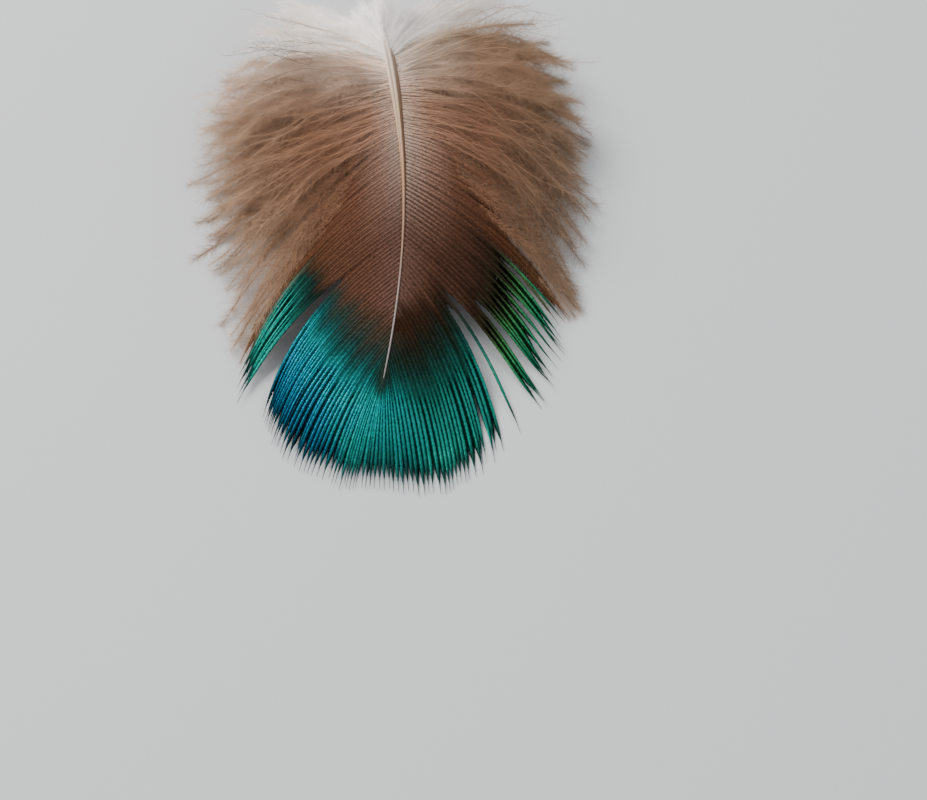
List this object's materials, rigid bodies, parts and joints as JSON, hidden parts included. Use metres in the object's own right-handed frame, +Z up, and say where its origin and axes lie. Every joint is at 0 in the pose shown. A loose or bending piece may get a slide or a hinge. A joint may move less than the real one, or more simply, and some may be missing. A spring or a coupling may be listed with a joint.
{
  "type": "peacock feather",
  "caption": "Small peacock body feather with an arched shaft, a rounded vane with iridescent blue-green barb ends, and soft brown down at its base.",
  "frame": {"origin": "on the surface the feather lies on, under the middle of its bounding box", "axes": "+X to the feather's right, +Y from the vane's rounded end to the quill, +Z up from the surface, towards the outer side"},
  "size_m": [0.0577, 0.0807, 0.0122],
  "materials": {
    "feather": "soft barbs, brown near the shaft and iridescent blue-green at their ends",
    "quill": "satin horn, ivory at the quill and brown towards the tip",
    "vane": "barbs, brown to iridescent blue, teal and green",
    "down": "soft beige-brown down, paler at the quill"
  },
  "bodies": {
    "root": {"feather": "feather"}
  },
  "joints": []
}
